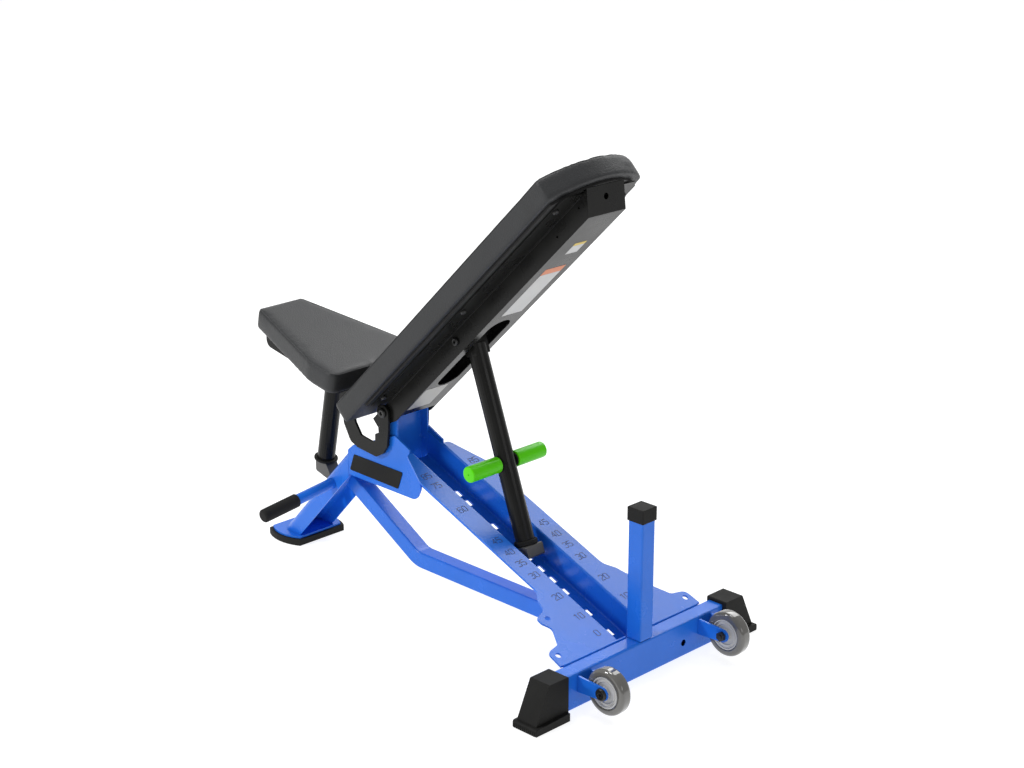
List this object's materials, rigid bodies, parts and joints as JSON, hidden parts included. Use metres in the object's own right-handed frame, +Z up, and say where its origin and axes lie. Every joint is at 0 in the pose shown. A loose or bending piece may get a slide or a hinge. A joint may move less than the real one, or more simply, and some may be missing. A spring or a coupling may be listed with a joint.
{
  "type": "adjustable weight bench",
  "caption": "Adjustable weight bench with a ladder rail, a reclining padded back held by a pivoting strut, a tilting seat on a prop, a carry handle and transport wheels.",
  "frame": {"origin": "centre of the bounding box at rest, on the floor", "axes": "+Z up; +X from the seat's nose towards the wheels and the head end; +Y across, the carry handle is on the -Y side"},
  "size_m": [1.2603, 0.67, 1.0512],
  "materials": {
    "powder_blue": "glossy powder coat",
    "satin_black": "satin powder coat",
    "grey_steel": "satin",
    "vinyl": "grained vinyl",
    "board": "painted board",
    "green_grip": "moulded grip",
    "tyre_rubber": "smooth",
    "foot_rubber": "matt moulded",
    "foam_grip": "foam",
    "grey_plastic": "moulded",
    "black_plastic": "moulded",
    "black_fastener": "black oxide",
    "zinc": "zinc plated"
  },
  "bodies": {
    "frame": {"badge_plate": "black_plastic", "brace_tube": "powder_blue", "carry_handle_bar": "powder_blue", "carry_handle_grip": "foam_grip", "foot_pad": "foot_rubber", "foot_plate": "powder_blue", "front_leg": "powder_blue", "hinge_column": "powder_blue", "hub_plate_l": "powder_blue", "hub_plate_r": "powder_blue", "post_cap": "black_plastic", "rear_cross_tube": "powder_blue", "rear_foot_l": "black_plastic", "rear_foot_r": "black_plastic", "rear_post": "powder_blue", "spine_channel": "powder_blue", "wheel_axle_bolt_l": "black_fastener", "wheel_axle_bolt_r": "black_fastener", "wheel_axle_nut_l": "black_fastener", "wheel_axle_nut_r": "black_fastener", "wheel_bracket_l_in": "powder_blue", "wheel_bracket_l_out": "powder_blue", "wheel_bracket_r_in": "powder_blue", "wheel_bracket_r_out": "powder_blue"},
    "hinge_core": {"hinge_bolt": "black_fastener", "hinge_nut": "zinc", "hinge_sleeve": "zinc"},
    "backrest": {"back_board": "board", "back_bolt_l_1": "black_fastener", "back_bolt_l_2": "black_fastener", "back_bolt_l_3": "black_fastener", "back_bolt_r_1": "black_fastener", "back_bolt_r_2": "black_fastener", "back_bolt_r_3": "black_fastener", "back_channel": "satin_black", "back_end_plate": "satin_black", "back_pad": "vinyl"},
    "strut_pin": {"strut_pivot_bolt": "black_fastener", "strut_pivot_nut": "zinc"},
    "strut": {"strut_tube": "satin_black", "strut_collar": "black_plastic", "strut_shoe": "grey_steel", "strut_handle_bar": "black_plastic", "strut_grip_l": "green_grip", "strut_grip_r": "green_grip"},
    "seat": {"seat_pad": "vinyl", "seat_board": "board", "seat_channel": "satin_black", "hinge_plate_l": "satin_black", "hinge_plate_r": "satin_black", "seat_post_bolt": "black_fastener", "seat_post_nut": "zinc"},
    "seat_post": {"seat_post_tube": "satin_black", "seat_post_disc": "black_plastic", "seat_post_shoe": "grey_steel"},
    "wheel_left": {"wheel_tyre_l": "tyre_rubber", "wheel_hub_l": "grey_plastic"},
    "wheel_right": {"wheel_tyre_r": "tyre_rubber", "wheel_hub_r": "grey_plastic"}
  },
  "joints": [
    {"name": "back_recline_low", "type": "hinge", "parent": "frame", "child": "hinge_core", "pos_m": [-0.199, 0, 0.403], "axis": [0, -1, 0], "range_deg": [-44.5, 0]},
    {"name": "back_recline_high", "type": "hinge", "parent": "hinge_core", "child": "backrest", "pos_m": [-0.199, 0, 0.403], "axis": [0, -1, 0], "range_deg": [0, 40.5]},
    {"name": "strut_swing_low", "type": "hinge", "parent": "backrest", "child": "strut_pin", "pos_m": [0.02531, 0, 0.61403], "axis": [0, -1, 0], "range_deg": [-0.5, 71.5]},
    {"name": "strut_swing_high", "type": "hinge", "parent": "strut_pin", "child": "strut", "pos_m": [0.02531, 0, 0.61403], "axis": [0, -1, 0], "range_deg": [-44.5, 0.5]},
    {"name": "seat_tilt", "type": "hinge", "parent": "frame", "child": "seat", "pos_m": [-0.199, 0, 0.403], "axis": [0, 1, 0], "range_deg": [-10.9, 9.1]},
    {"name": "seat_post_swing", "type": "hinge", "parent": "seat", "child": "seat_post", "pos_m": [-0.4234, 0, 0.43603], "axis": [0, 1, 0], "range_deg": [-15.5, 18.5]},
    {"name": "wheel_left_spin", "type": "hinge", "parent": "frame", "child": "wheel_left", "pos_m": [0.582, -0.1815, 0.0605], "axis": [0, 1, 0], "continuous": true},
    {"name": "wheel_right_spin", "type": "hinge", "parent": "frame", "child": "wheel_right", "pos_m": [0.582, 0.1815, 0.0605], "axis": [0, 1, 0], "continuous": true}
  ],
  "couplings": [
    {"joint": "strut_swing_low", "follows": "back_recline_low", "ratio": -1.5887},
    {"joint": "strut_swing_high", "follows": "back_recline_high", "ratio": -1.0857},
    {"joint": "seat_post_swing", "follows": "seat_tilt", "ratio": -1.634}
  ]
}
